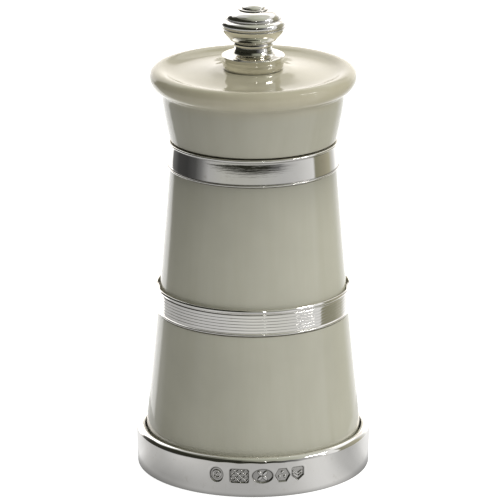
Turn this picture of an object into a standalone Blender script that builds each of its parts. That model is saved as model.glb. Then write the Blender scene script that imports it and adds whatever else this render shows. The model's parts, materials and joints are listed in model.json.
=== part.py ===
"""Small pepper mill: turned acrylic body and head, silver foot ring, reeded
middle band, plain upper band and stepped finial, with a complete grinding
mechanism on one square spindle.

Frame: metres, +Z up, origin on the mill's axis at the plane its foot ring
stands on.  The lower bridge and the retaining bar run along X.
"""

import math

import bmesh
import bpy
from mathutils import Vector

MM = 0.001

# ---------------------------------------------------------------- dimensions
# overall
HEIGHT = 106.0 * MM
GAP = 0.3 * MM                    # play between pieces that rest on each other

# foot ring
FOOT_R = 26.3 * MM
FOOT_H = 9.15 * MM
FOOT_LEDGE_Z = 3.3 * MM
FOOT_BORE_R = 21.5 * MM
FOOT_MOUTH_R = 24.4 * MM

# acrylic body: a slightly hollow cone, radius = R0 - SLOPE*h + HOLLOW*h*h
BODY_Z0 = 3.6 * MM
BODY_REF_Z = 9.4 * MM
BODY_R0 = 24.05 * MM
BODY_SLOPE = 0.1085
BODY_HOLLOW = 0.28                # per metre
BODY_TOP_Z = 74.3 * MM
BODY_SPLIT_Z = 38.6 * MM
CHAMBER_R = 13.4 * MM
SPIGOT_R = 16.6 * MM
SPIGOT_TOP_Z = 43.0 * MM
COUNTERBORE_R = 17.6 * MM
COUNTERBORE_Z = 6.4 * MM

# middle band
MID_Z0 = 35.9 * MM
MID_Z1 = 41.9 * MM
MID_SEAT_R = 20.5 * MM
MID_WALL_R = 21.42 * MM
MID_LIP_R = 21.86 * MM
MID_BEAD_R = 21.68 * MM
REED_COUNT = 6
REED_DEPTH = 0.07 * MM

# upper band
UP_Z0 = 69.2 * MM
UP_Z1 = 75.3 * MM
UP_SEAT_R = 17.9 * MM
UP_WALL_R = 18.95 * MM             # at its foot
UP_WAIST_R = 18.53 * MM            # under the flange
UP_BEAD_R = 19.18 * MM
UP_FLANGE_R = 19.17 * MM
UP_MOUTH_R = 14.2 * MM

# head
HEAD_Z0 = 75.6 * MM
HEAD_R0 = 18.6 * MM
RIM_R = 22.87 * MM
RIM_Z = 89.2 * MM
CREST_Z = 91.3 * MM
DISH_Z = 90.2 * MM
DISH_CENTRE_Z = 91.25 * MM
TENON_R = 12.8 * MM
TENON_Z = 71.2 * MM

# spindle
SQ = 2.38 * MM                    # half of the 3/16 inch square
SQ_CORNER = 3.1 * MM
THREAD_R = 2.3 * MM
SHAFT_Z0 = 1.2 * MM
SQUARE_Z0 = 6.3 * MM
SQUARE_Z1 = 86.0 * MM
SHAFT_Z1 = 101.0 * MM
SQ_HOLE = SQ + GAP
SQ_HOLE_CORNER = SQ_CORNER + GAP

# burrs
STATOR_Z0 = 6.2 * MM
STATOR_Z1 = 13.3 * MM
STATOR_OUT_R = 11.35 * MM
STATOR_TEETH = 12
ROTOR_Z0 = 6.5 * MM
ROTOR_Z1 = 14.0 * MM
ROTOR_TEETH = 10
CONE_SLOPE = 0.39
STATOR_TIP_R = 10.15 * MM         # at STATOR_Z0
ROTOR_TIP_R = 9.55 * MM           # at ROTOR_Z0

# housing
HOUSING_Z0 = 4.3 * MM
HOUSING_FLANGE_R = 17.2 * MM
HOUSING_FLANGE_T = 1.7 * MM
HOUSING_R = 12.95 * MM
HOUSING_BORE_R = 11.65 * MM
HOUSING_LIP_R = 10.6 * MM
HOUSING_Z1 = 13.9 * MM

# bridge and bar
BAR_W = 6.0 * MM
BRIDGE_W = 8.6 * MM
BRIDGE_Z0 = 14.2 * MM
BRIDGE_Z1 = 28.0 * MM
BRIDGE_T = 1.0 * MM
BRIDGE_X = 12.3 * MM
BAR_Z0 = 2.9 * MM
BAR_T = 1.1 * MM
BAR_X = 17.0 * MM
BAR_SCREW_X = 15.3 * MM
PLATE_SCREW_Y = 8.0 * MM
SCREW_R = 0.9 * MM
SCREW_HOLE_R = 1.2 * MM

# finial
COLLAR_Z0 = 91.55 * MM
KNOB_Z0 = 95.75 * MM
KNOB_Z1 = 104.8 * MM
BUTTON_Z0 = 105.1 * MM
BUTTON_R = 2.77 * MM

SEG_BIG = 36
SEG_MID = 24
SEG_SMALL = 16


# ------------------------------------------------------------------- helpers
def clear_scene():
    for ob in list(bpy.data.objects):
        bpy.data.objects.remove(ob, do_unlink=True)


def material(name, colour, roughness, metallic):
    mat = bpy.data.materials.new(name)
    mat.use_nodes = True
    bsdf = mat.node_tree.nodes["Principled BSDF"]
    bsdf.inputs["Base Color"].default_value = (*colour, 1.0)
    bsdf.inputs["Roughness"].default_value = roughness
    bsdf.inputs["Metallic"].default_value = metallic
    return mat


def finish_object(name, bm, mat, origin=(0.0, 0.0, 0.0), smooth=35.0):
    """Turns a bmesh in world coordinates into an object whose origin is given."""
    bmesh.ops.remove_doubles(bm, verts=bm.verts, dist=1e-7)
    bmesh.ops.recalc_face_normals(bm, faces=bm.faces)
    bmesh.ops.translate(bm, verts=bm.verts, vec=-Vector(origin))
    me = bpy.data.meshes.new(name)
    bm.to_mesh(me)
    bm.free()
    me.materials.append(mat)
    me.shade_smooth()
    me.set_sharp_from_angle(angle=math.radians(smooth))
    ob = bpy.data.objects.new(name, me)
    bpy.context.scene.collection.objects.link(ob)
    ob.location = origin
    return ob


def turned(name, profile, mat, segments=SEG_BIG, origin=(0.0, 0.0, 0.0), axis_xy=(0.0, 0.0)):
    """A closed profile of (radius, height) points spun about a vertical axis."""
    bm = bmesh.new()
    ring = [bm.verts.new((r, 0.0, z)) for r, z in profile]
    on_axis = [i for i, (r, z) in enumerate(profile) if r < 1e-9]
    edges = []
    for i in range(len(ring)):
        j = (i + 1) % len(ring)
        if i in on_axis and j in on_axis:
            continue
        edges.append(bm.edges.new((ring[i], ring[j])))
    bmesh.ops.spin(
        bm, geom=list(ring) + edges, cent=(0, 0, 0), axis=(0, 0, 1),
        angle=2 * math.pi, steps=segments, use_merge=True, use_duplicate=False,
    )
    bmesh.ops.remove_doubles(bm, verts=bm.verts, dist=2e-6)
    bmesh.ops.translate(bm, verts=bm.verts, vec=(axis_xy[0], axis_xy[1], 0.0))
    return finish_object(name, bm, mat, origin)


def circle(r, n, z, phase=0.0):
    return [
        (r * math.cos(2 * math.pi * k / n + phase), r * math.sin(2 * math.pi * k / n + phase), z)
        for k in range(n)
    ]


def square_section(half, corner, n, z):
    """A square with its corners turned off at radius `corner`, as n points."""
    pts = []
    for k in range(n):
        a = 2 * math.pi * k / n
        c, s = math.cos(a), math.sin(a)
        r = min(half / max(abs(c), abs(s)), corner)
        pts.append((r * c, r * s, z))
    return pts


def lofted(name, rings, mat, closed=False, origin=(0.0, 0.0, 0.0), smooth=35.0):
    """Sections of equal point count joined in order; ends capped, or joined
    to each other when the solid is a ring."""
    bm = bmesh.new()
    rows = [[bm.verts.new(p) for p in ring] for ring in rings]
    n = len(rows[0])
    pairs = list(zip(rows, rows[1:]))
    if closed:
        pairs.append((rows[-1], rows[0]))
    for a, b in pairs:
        for k in range(n):
            m = (k + 1) % n
            bm.faces.new((a[k], a[m], b[m], b[k]))
    if not closed:
        bm.faces.new(list(reversed(rows[0])))
        bm.faces.new(rows[-1])
    return finish_object(name, bm, mat, origin, smooth)


def cutter_cylinder(name, r, z0, z1, xy=(0.0, 0.0), segments=16):
    turn = 0.37 * math.pi / segments          # keeps its corners off the other piece's edges
    ob = lofted(name, [circle(r, segments, z0, turn), circle(r, segments, z1, turn)], MATS["cutter"])
    ob.location = (xy[0], xy[1], 0.0)
    ob.hide_render = True
    ob.display_type = "WIRE"
    return ob


def cutter_box(name, size, centre):
    bm = bmesh.new()
    bmesh.ops.create_cube(bm, size=1.0)
    bmesh.ops.scale(bm, vec=size, verts=bm.verts)
    ob = finish_object(name, bm, MATS["cutter"])
    ob.location = centre
    ob.hide_render = True
    ob.display_type = "WIRE"
    return ob


def cut(ob, cutter):
    mod = ob.modifiers.new("cut_" + cutter.name, "BOOLEAN")
    mod.operation = "DIFFERENCE"
    mod.solver = "EXACT"
    mod.object = cutter


# ----------------------------------------------------------------- materials
MATS = {}


def make_materials():
    MATS["acrylic"] = material("cream_acrylic", (0.42, 0.40, 0.34), 0.12, 0.0)
    MATS["silver"] = material("silver", (0.86, 0.85, 0.82), 0.08, 1.0)
    MATS["steel"] = material("steel", (0.55, 0.55, 0.55), 0.28, 1.0)
    MATS["burr"] = material("burr_steel", (0.35, 0.35, 0.36), 0.38, 1.0)
    MATS["brass"] = material("brass", (0.78, 0.62, 0.30), 0.25, 1.0)
    MATS["felt"] = material("felt", (0.05, 0.10, 0.07), 0.95, 0.0)
    MATS["nylon"] = material("nylon", (0.80, 0.78, 0.72), 0.45, 0.0)
    MATS["cutter"] = material("cutter", (1.0, 0.0, 0.0), 0.5, 0.0)


# ---------------------------------------------------------------- fixed body
def body_radius(z):
    h = z - BODY_REF_Z
    return BODY_R0 - BODY_SLOPE * h + BODY_HOLLOW * h * h


def cone_points(z0, z1, count):
    return [
        (body_radius(z0 + (z1 - z0) * k / (count - 1)), z0 + (z1 - z0) * k / (count - 1))
        for k in range(count)
    ]


def make_body_lower():
    seat_z = MID_Z0 - GAP
    profile = [(CHAMBER_R, COUNTERBORE_Z), (COUNTERBORE_R, COUNTERBORE_Z), (COUNTERBORE_R, BODY_Z0)]
    profile += [(BODY_R0 - 0.35 * MM, BODY_Z0), (BODY_R0 - 0.05 * MM, BODY_Z0 + 0.4 * MM)]
    profile += cone_points(BODY_REF_Z - 0.2 * MM, seat_z, 5)
    profile += [(MID_SEAT_R, seat_z), (MID_SEAT_R, BODY_SPLIT_Z)]
    profile += [(SPIGOT_R, BODY_SPLIT_Z), (SPIGOT_R, SPIGOT_TOP_Z), (CHAMBER_R, SPIGOT_TOP_Z)]
    ob = turned("body_lower", profile, MATS["acrylic"])
    for i, x in enumerate((BAR_SCREW_X, -BAR_SCREW_X)):
        cut(ob, cutter_cylinder("drill_body_%d" % i, SCREW_HOLE_R, 3.0 * MM, 12.8 * MM, (x, 0.0), 12))
    return ob


def make_body_upper():
    z0 = BODY_SPLIT_Z + GAP
    seat_top = MID_Z1 - 1.3 * MM
    socket_z = SPIGOT_TOP_Z + GAP
    profile = [(SPIGOT_R + GAP, z0), (MID_SEAT_R, z0), (MID_SEAT_R, seat_top)]
    profile += cone_points(seat_top + 0.1 * MM, UP_Z0 - GAP, 5)
    profile += [(UP_SEAT_R, UP_Z0 - GAP), (UP_SEAT_R, BODY_TOP_Z - 0.3 * MM)]
    profile += [(UP_SEAT_R - 0.3 * MM, BODY_TOP_Z), (CHAMBER_R + 0.4 * MM, BODY_TOP_Z)]
    profile += [(CHAMBER_R, BODY_TOP_Z - 0.5 * MM), (CHAMBER_R, socket_z), (SPIGOT_R + GAP, socket_z)]
    return turned("body_upper", profile, MATS["acrylic"])


def make_foot_ring():
    r = FOOT_R
    profile = [
        (FOOT_BORE_R, 0.0), (r - 0.5 * MM, 0.0), (r - 0.24 * MM, 0.26 * MM), (r - 0.2 * MM, 1.1 * MM),
        (r, 7.9 * MM), (r - 0.13 * MM, 8.38 * MM), (r - 0.51 * MM, 8.78 * MM), (r - 1.08 * MM, 9.06 * MM),
        (r - 1.75 * MM, FOOT_H),
        (FOOT_MOUTH_R, FOOT_H), (FOOT_MOUTH_R, FOOT_LEDGE_Z), (FOOT_BORE_R, FOOT_LEDGE_Z),
    ]
    return turned("foot_ring", profile, MATS["silver"])


def make_middle_band():
    z0, z1 = MID_Z0, MID_Z1
    wall0, wall1 = z0 + 0.6 * MM, z1 - 1.28 * MM
    profile = [(MID_SEAT_R + GAP, z0), (MID_BEAD_R - 0.2 * MM, z0), (MID_BEAD_R, z0 + 0.25 * MM)]
    profile += [(MID_BEAD_R - 0.12 * MM, z0 + 0.46 * MM), (MID_WALL_R - REED_DEPTH, wall0)]
    pitch = (wall1 - wall0) / REED_COUNT
    for k in range(REED_COUNT):
        profile.append((MID_WALL_R, wall0 + (k + 0.5) * pitch))
        profile.append((MID_WALL_R - REED_DEPTH, wall0 + (k + 1) * pitch))
    profile += [(MID_LIP_R, z1 - 0.75 * MM), (MID_LIP_R, z1 - 0.2 * MM), (MID_LIP_R - 0.15 * MM, z1)]
    profile += [(MID_LIP_R - 0.5 * MM, z1), (MID_LIP_R - 0.62 * MM, z1 - 1.5 * MM)]
    profile += [(MID_SEAT_R + GAP, z1 - 1.5 * MM)]
    return turned("middle_band", profile, MATS["silver"])


def make_upper_band():
    z0, z1 = UP_Z0, UP_Z1
    inner = UP_SEAT_R + GAP
    profile = [
        (inner, z0), (UP_BEAD_R - 0.2 * MM, z0), (UP_BEAD_R, z0 + 0.2 * MM),
        (UP_WALL_R, z0 + 0.5 * MM), ((UP_WALL_R + UP_WAIST_R) / 2 + 0.02 * MM, z0 + 2.9 * MM),
        (UP_WAIST_R, z1 - 0.85 * MM), (UP_FLANGE_R - 0.03 * MM, z1 - 0.5 * MM),
        (UP_FLANGE_R, z1 - 0.22 * MM), (UP_FLANGE_R - 0.2 * MM, z1),
        (UP_MOUTH_R, z1), (UP_MOUTH_R, BODY_TOP_Z + GAP), (inner, BODY_TOP_Z + GAP),
    ]
    return turned("upper_band", profile, MATS["silver"])


def make_base_pad():
    profile = [
        (COUNTERBORE_R + 0.4 * MM, 2.3 * MM), (FOOT_BORE_R - GAP, 2.3 * MM),
        (FOOT_BORE_R - GAP, BODY_Z0 - GAP), (COUNTERBORE_R + 0.4 * MM, BODY_Z0 - GAP),
    ]
    return turned("base_pad", profile, MATS["felt"], SEG_BIG)


def make_housing():
    top = HOUSING_Z0 + HOUSING_FLANGE_T
    profile = [
        (HOUSING_LIP_R, HOUSING_Z0), (HOUSING_FLANGE_R, HOUSING_Z0), (HOUSING_FLANGE_R, top),
        (HOUSING_R, top), (HOUSING_R, HOUSING_Z1), (HOUSING_BORE_R, HOUSING_Z1),
        (HOUSING_BORE_R, STATOR_Z0 - GAP), (HOUSING_LIP_R, STATOR_Z0 - GAP),
    ]
    ob = turned("grinder_housing", profile, MATS["steel"], SEG_BIG)
    for i, x in enumerate((BAR_SCREW_X, -BAR_SCREW_X)):
        cut(ob, cutter_cylinder("drill_flange_%d" % i, SCREW_HOLE_R, 3.5 * MM, 6.9 * MM, (x, 0.0), 12))
    return ob


def tooth_section(tip_r, depth, teeth, z, phase, inward):
    """Four points to a tooth: a land of two and a valley of two."""
    pts = []
    n = teeth * 4
    for k in range(n):
        a = 2 * math.pi * k / n + phase
        on_land = (k % 4) in (0, 1)
        if inward:
            r = tip_r if on_land else tip_r + depth
        else:
            r = tip_r if on_land else tip_r - depth
        pts.append((r * math.cos(a), r * math.sin(a), z))
    return pts


def make_stator():
    n = STATOR_TEETH * 4
    rings = [circle(STATOR_OUT_R, n, STATOR_Z0), circle(STATOR_OUT_R, n, STATOR_Z1)]
    levels = 5
    for k in range(levels):
        t = k / (levels - 1)
        z = STATOR_Z1 + (STATOR_Z0 - STATOR_Z1) * t
        h = z - STATOR_Z0
        tip = STATOR_TIP_R - CONE_SLOPE * h
        depth = (0.35 + 0.75 * h / (STATOR_Z1 - STATOR_Z0)) * MM
        rings.append(tooth_section(tip, depth, STATOR_TEETH, z, -0.35 * (1 - t), True))
    return lofted("stator_burr", rings, MATS["burr"], closed=True, smooth=20.0)


def make_bridge():
    """A strip bent into an inverted U, its feet on the housing's sleeve."""
    x1, x0 = BRIDGE_X, BRIDGE_X - BRIDGE_T
    z0, z1 = BRIDGE_Z0, BRIDGE_Z1
    bend = 1.2 * MM
    outer = [(x1, z0), (x1, z1 - bend - 0.6 * MM), (x1 - 0.55 * MM, z1 - 0.55 * MM), (x1 - bend - 0.6 * MM, z1)]
    inner = [(x0, z0), (x0, z1 - bend - 0.9 * MM), (x0 - 0.5 * MM, z1 - BRIDGE_T - 0.5 * MM), (x0 - bend, z1 - BRIDGE_T)]
    loop = outer + [(-x, z) for x, z in reversed(outer)]
    loop += [(-x, z) for x, z in inner] + [(x, z) for x, z in reversed(inner)]
    bm = bmesh.new()
    verts = [bm.verts.new((x, -BRIDGE_W / 2, z)) for x, z in loop]
    face = bm.faces.new(verts)
    made = bmesh.ops.extrude_face_region(bm, geom=[face])
    moved = [v for v in made["geom"] if isinstance(v, bmesh.types.BMVert)]
    bmesh.ops.translate(bm, verts=moved, vec=(0.0, BRIDGE_W, 0.0))
    ob = finish_object("bridge", bm, MATS["steel"])
    cut(ob, cutter_cylinder("drill_bridge", SQ_CORNER + 0.4 * MM, z1 - 3 * MM, z1 + 2 * MM, (0.0, 0.0), SEG_SMALL))
    return ob


def make_bar():
    """Flat bar with rounded ends, guide hole in its middle, screw holes at its ends."""
    half = BAR_W / 2
    straight = BAR_X - half
    loop = []
    for side in (1, -1):
        for k in range(9):
            a = math.radians(-90 + 180 * k / 8)
            loop.append((side * (straight + half * math.cos(a)), side * half * math.sin(a)))
    bm = bmesh.new()
    face = bm.faces.new([bm.verts.new((x, y, BAR_Z0)) for x, y in loop])
    made = bmesh.ops.extrude_face_region(bm, geom=[face])
    moved = [v for v in made["geom"] if isinstance(v, bmesh.types.BMVert)]
    bmesh.ops.translate(bm, verts=moved, vec=(0.0, 0.0, BAR_T))
    ob = finish_object("retaining_bar", bm, MATS["steel"])
    for i, (x, r) in enumerate(((0.0, 2.6 * MM), (BAR_SCREW_X, SCREW_HOLE_R), (-BAR_SCREW_X, SCREW_HOLE_R))):
        cut(ob, cutter_cylinder("drill_bar_%d" % i, r, BAR_Z0 - 1 * MM, BAR_Z0 + 3 * MM, (x, 0.0), 16))
    return ob


def make_screw(name, xy, head_top_z, head_h, head_r, tip_z, slot_angle):
    """Slotted pan-head screw, head down: origin at its own axis."""
    z0 = head_top_z - head_h
    profile = [
        (0.0, z0), (head_r * 0.7, z0 + 0.04 * MM), (head_r, z0 + head_h * 0.5), (head_r, head_top_z),
        (SCREW_R, head_top_z), (SCREW_R, tip_z - 0.9 * MM), (0.0, tip_z),
    ]
    ob = turned(name, profile, MATS["steel"], 16)
    ob.location = (xy[0], xy[1], 0.0)
    slot = cutter_box("slot_" + name, (head_r * 3, 0.5 * MM, 0.7 * MM), (xy[0], xy[1], z0))
    slot.rotation_euler = (0.0, 0.0, math.radians(slot_angle))
    cut(ob, slot)
    return ob


# ------------------------------------------------------------------- spindle
def make_shaft():
    n = 16
    foot = 2.3 * MM
    groove = 1.75 * MM
    rings = [
        circle(foot - 0.4 * MM, n, SHAFT_Z0), circle(foot, n, SHAFT_Z0 + 0.4 * MM),
        circle(foot, n, 5.4 * MM), circle(groove, n, 5.4 * MM), circle(groove, n, SQUARE_Z0),
        square_section(SQ, SQ_CORNER, n, SQUARE_Z0), square_section(SQ, SQ_CORNER, n, SQUARE_Z1),
        circle(THREAD_R, n, SQUARE_Z1), circle(THREAD_R, n, SHAFT_Z1 - 0.5 * MM),
        circle(THREAD_R - 0.5 * MM, n, SHAFT_Z1),
    ]
    return lofted("shaft", rings, MATS["steel"], smooth=25.0)


def make_rotor():
    n = ROTOR_TEETH * 4
    rings = [square_section(SQ_HOLE, SQ_HOLE_CORNER, n, ROTOR_Z1), square_section(SQ_HOLE, SQ_HOLE_CORNER, n, ROTOR_Z0)]
    levels = 5
    cone_top = ROTOR_Z1 - 1.2 * MM
    for k in range(levels):
        t = k / (levels - 1)
        z = ROTOR_Z0 + (cone_top - ROTOR_Z0) * t
        tip = ROTOR_TIP_R - CONE_SLOPE * (z - ROTOR_Z0)
        depth = (0.4 + 0.9 * t) * MM
        rings.append(tooth_section(tip, depth, ROTOR_TEETH, z, 0.45 * t, False))
    rings.append(circle(5.4 * MM, n, ROTOR_Z1, 0.45))
    return lofted("rotor_burr", rings, MATS["burr"], closed=True, smooth=20.0)


def square_washer(name, outer_r, z0, z1, mat, n=SEG_MID):
    rings = [
        square_section(SQ_HOLE, SQ_HOLE_CORNER, n, z1), square_section(SQ_HOLE, SQ_HOLE_CORNER, n, z0),
        circle(outer_r, n, z0), circle(outer_r, n, z1),
    ]
    return lofted(name, rings, mat, closed=True)


def make_shaft_clip():
    """Open clip in the shaft's groove under the inner burr."""
    r0, r1 = 1.75 * MM + GAP, 3.4 * MM
    z0, z1 = 5.65 * MM, 6.15 * MM
    opening = math.radians(50)
    steps = 14
    rows = []
    for k in range(steps + 1):
        a = math.pi / 2 + opening / 2 + (2 * math.pi - opening) * k / steps
        c, s = math.cos(a), math.sin(a)
        rows.append([(r0 * c, r0 * s, z0), (r1 * c, r1 * s, z0), (r1 * c, r1 * s, z1), (r0 * c, r0 * s, z1)])
    return lofted("shaft_clip", rows, MATS["steel"])


def make_spring():
    mean_r, wire = 5.0 * MM, 0.5 * MM
    z0, z1 = 15.3 * MM + wire, 25.6 * MM - wire
    turns, per_turn, sides = 5.5, 12, 5
    count = int(turns * per_turn)
    rise = (z1 - z0) / (2 * math.pi * turns * mean_r)
    tilt = math.atan(rise)
    rows = []
    for i in range(count + 1):
        a = 2 * math.pi * turns * i / count
        z = z0 + (z1 - z0) * i / count
        radial = Vector((math.cos(a), math.sin(a), 0.0))
        along = Vector((-math.sin(a) * math.cos(tilt), math.cos(a) * math.cos(tilt), math.sin(tilt)))
        up = radial.cross(along) * -1.0
        row = []
        for j in range(sides):
            b = 2 * math.pi * j / sides
            p = radial * (mean_r + wire * math.cos(b)) + up * (-wire * math.sin(b)) + Vector((0.0, 0.0, z))
            row.append(tuple(p))
        rows.append(row)
    return lofted("spring", rows, MATS["steel"], smooth=80.0)


# ---------------------------------------------------------------------- head
def head_outer_profile():
    """Flaring wall, rolled rim and dished top, from the foot to the centre."""
    pts = [(HEAD_R0, HEAD_Z0), (HEAD_R0 + 0.17 * MM, HEAD_Z0 + 0.2 * MM)]
    neck_z, neck_r = 86.0 * MM, 20.22 * MM
    for k in range(1, 5):
        t = k / 4
        pts.append((HEAD_R0 + 0.17 * MM + (neck_r - HEAD_R0 - 0.17 * MM) * math.sin(t * math.pi / 2) ** 1.15,
                    HEAD_Z0 + 0.2 * MM + (neck_z - HEAD_Z0 - 0.2 * MM) * t))
    # the rolled rim: an ellipse about (RIM_R - a, RIM_Z)
    a_out, b_low, b_high = 2.6 * MM, RIM_Z - 86.4 * MM, CREST_Z - RIM_Z
    for deg in (-68, -45, -22, 0, 24, 50, 75):
        t = math.radians(deg)
        b = b_low if deg < 0 else b_high
        pts.append((RIM_R - a_out * (1 - math.cos(t)), RIM_Z + b * math.sin(t)))
    pts.append((20.6 * MM, CREST_Z - 0.05 * MM))
    pts.append((18.8 * MM, DISH_Z + 0.45 * MM))
    pts.append((16.0 * MM, DISH_Z))
    pts.append((12.0 * MM, DISH_Z + 0.3 * MM))
    pts.append((9.0 * MM, DISH_Z + 0.75 * MM))
    return pts


def make_head():
    profile = [(TENON_R, HEAD_Z0)] + head_outer_profile()
    profile += [(6.3 * MM, DISH_CENTRE_Z), (6.3 * MM, 90.3 * MM), (5.2 * MM, 90.3 * MM), (5.2 * MM, 83.7 * MM)]
    profile += [(4.1 * MM, 83.7 * MM), (4.1 * MM, TENON_Z), (TENON_R - 0.4 * MM, TENON_Z), (TENON_R, TENON_Z + 0.4 * MM)]
    ob = turned("head_cap", profile, MATS["acrylic"])
    for i, y in enumerate((PLATE_SCREW_Y, -PLATE_SCREW_Y)):
        cut(ob, cutter_cylinder("drill_head_%d" % i, SCREW_HOLE_R, 70.5 * MM, 78.0 * MM, (0.0, y), 12))
    return ob


def make_drive_plate():
    ob = square_washer("drive_plate", 12.0 * MM, 70.0 * MM, 70.9 * MM, MATS["steel"])
    for i, y in enumerate((PLATE_SCREW_Y, -PLATE_SCREW_Y)):
        cut(ob, cutter_cylinder("drill_plate_%d" % i, SCREW_HOLE_R, 69.0 * MM, 72.0 * MM, (0.0, y), 12))
    return ob


def make_head_bush():
    profile = [
        (3.9 * MM, 84.0 * MM), (4.9 * MM, 84.0 * MM), (4.9 * MM, 90.6 * MM), (6.0 * MM, 90.6 * MM),
        (6.0 * MM, 91.2 * MM), (3.9 * MM, 91.2 * MM),
    ]
    return turned("head_bush", profile, MATS["nylon"], SEG_SMALL)


# -------------------------------------------------------------------- finial
def make_collar():
    z = COLLAR_Z0
    profile = [
        (3.2 * MM, z), (6.6 * MM, z), (6.74 * MM, z + 0.2 * MM), (6.72 * MM, z + 1.95 * MM),
        (6.97 * MM, z + 2.6 * MM), (6.9 * MM, z + 2.85 * MM), (5.2 * MM, z + 3.17 * MM),
        (4.5 * MM, z + 3.5 * MM), (4.3 * MM, KNOB_Z0 - GAP),
        (3.2 * MM, KNOB_Z0 - GAP),
    ]
    return turned("finial_collar", profile, MATS["silver"], SEG_MID)


def make_knob():
    pts = [
        (3.65, 95.75), (4.2, 95.75), (4.05, 96.5), (4.36, 96.75), (4.34, 97.35), (5.12, 97.86), (5.2, 98.04),
        (5.55, 98.45), (6.02, 98.95), (6.8, 99.82), (6.92, 100.04), (6.76, 100.2), (7.06, 101.14),
        (7.2, 101.45), (7.12, 102.0), (6.8, 102.36), (6.14, 102.6), (6.0, 103.1), (5.46, 103.92),
        (4.45, 104.42), (3.3, 104.6), (3.2, 104.8), (1.55, 104.8), (1.55, 102.0), (3.65, 102.0),
    ]
    profile = [(r * MM, z * MM) for r, z in pts]
    return turned("finial_knob", profile, MATS["silver"], SEG_MID)


def make_insert():
    profile = [
        (2.8 * MM, 96.0 * MM), (3.35 * MM, 96.0 * MM), (3.35 * MM, 101.7 * MM), (2.8 * MM, 101.7 * MM),
    ]
    return turned("thread_insert", profile, MATS["brass"], SEG_SMALL)


def make_button():
    profile = [
        (0.0, 102.4 * MM), (1.2 * MM, 102.4 * MM), (1.2 * MM, BUTTON_Z0), (BUTTON_R, BUTTON_Z0),
        (BUTTON_R - 0.16 * MM, BUTTON_Z0 + 0.26 * MM), (BUTTON_R * 0.8, BUTTON_Z0 + 0.52 * MM),
        (BUTTON_R * 0.5, HEIGHT - 0.1 * MM), (0.0, HEIGHT),
    ]
    return turned("finial_button", profile, MATS["silver"], SEG_SMALL)


# ------------------------------------------------------------------ assembly
def pivot(name, z):
    """An empty on the mill's axis; a moving group hangs from it."""
    e = bpy.data.objects.new(name, None)
    e.location = (0.0, 0.0, z)
    e.empty_display_size = 5 * MM
    bpy.context.scene.collection.objects.link(e)
    return e


def hang(parent, parent_z, *children):
    for ob in children:
        ob.parent = parent
        ob.location.z -= parent_z


def build():
    clear_scene()
    make_materials()

    make_body_lower()
    make_body_upper()
    make_foot_ring()
    make_middle_band()
    make_upper_band()
    make_base_pad()
    make_housing()
    make_stator()
    make_bridge()
    make_bar()
    make_screw("bar_screw_1", (BAR_SCREW_X, 0.0), 2.6 * MM, 0.8 * MM, 1.9 * MM, 12.0 * MM, 25)
    make_screw("bar_screw_2", (-BAR_SCREW_X, 0.0), 2.6 * MM, 0.8 * MM, 1.9 * MM, 12.0 * MM, 70)

    washer = square_washer("thrust_washer", 6.2 * MM, 25.9 * MM, 26.7 * MM, MATS["steel"])
    spring = make_spring()

    shaft = make_shaft()
    rotor = make_rotor()
    seat = square_washer("spring_seat", 6.2 * MM, 14.3 * MM, 15.0 * MM, MATS["steel"])
    clip = make_shaft_clip()

    head = make_head()
    plate = make_drive_plate()
    bush = make_head_bush()
    ps1 = make_screw("plate_screw_1", (0.0, PLATE_SCREW_Y), 69.7 * MM, 0.8 * MM, 1.8 * MM, 77.2 * MM, 10)
    ps2 = make_screw("plate_screw_2", (0.0, -PLATE_SCREW_Y), 69.7 * MM, 0.8 * MM, 1.8 * MM, 77.2 * MM, 55)

    collar = make_collar()
    knob = make_knob()
    insert = make_insert()
    button = make_button()

    turn = pivot("head_turn_axis", HEAD_Z0)
    hang(turn, HEAD_Z0, washer, spring, shaft, rotor, seat, clip)
    lift = pivot("head_lift_axis", 0.0)
    lift.parent = turn
    lift.location = (0.0, 0.0, 0.0)
    for ob in (head, plate, bush, ps1, ps2, collar):
        ob.parent = lift
        ob.location.z -= HEAD_Z0
    screw = pivot("knob_turn_axis", 0.0)
    screw.parent = lift
    screw.location = (0.0, 0.0, KNOB_Z0 - HEAD_Z0)
    for ob in (knob, insert, button):
        ob.parent = screw
        ob.location.z -= KNOB_Z0


build()
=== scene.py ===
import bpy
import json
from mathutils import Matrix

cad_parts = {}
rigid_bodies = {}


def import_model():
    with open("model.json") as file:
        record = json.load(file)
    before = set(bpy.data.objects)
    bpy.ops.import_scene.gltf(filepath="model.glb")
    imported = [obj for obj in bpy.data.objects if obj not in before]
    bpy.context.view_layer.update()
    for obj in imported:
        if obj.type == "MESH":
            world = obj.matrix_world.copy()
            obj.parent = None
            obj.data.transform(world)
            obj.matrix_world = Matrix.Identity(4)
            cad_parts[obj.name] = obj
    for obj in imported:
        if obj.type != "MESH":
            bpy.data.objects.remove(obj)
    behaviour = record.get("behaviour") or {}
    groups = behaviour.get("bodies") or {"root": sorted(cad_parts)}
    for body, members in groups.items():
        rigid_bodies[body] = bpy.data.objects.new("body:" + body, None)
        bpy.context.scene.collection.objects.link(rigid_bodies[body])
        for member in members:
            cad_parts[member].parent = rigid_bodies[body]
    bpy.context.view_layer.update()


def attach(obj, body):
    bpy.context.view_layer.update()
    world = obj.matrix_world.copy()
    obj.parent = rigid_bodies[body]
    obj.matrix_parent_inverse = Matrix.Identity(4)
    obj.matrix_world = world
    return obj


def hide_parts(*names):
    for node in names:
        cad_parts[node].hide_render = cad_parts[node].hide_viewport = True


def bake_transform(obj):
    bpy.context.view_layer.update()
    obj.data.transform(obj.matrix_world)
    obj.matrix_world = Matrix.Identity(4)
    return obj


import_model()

import json
import math

import bmesh
import bpy
import numpy as np
from mathutils import Vector

MM = 0.001


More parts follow.
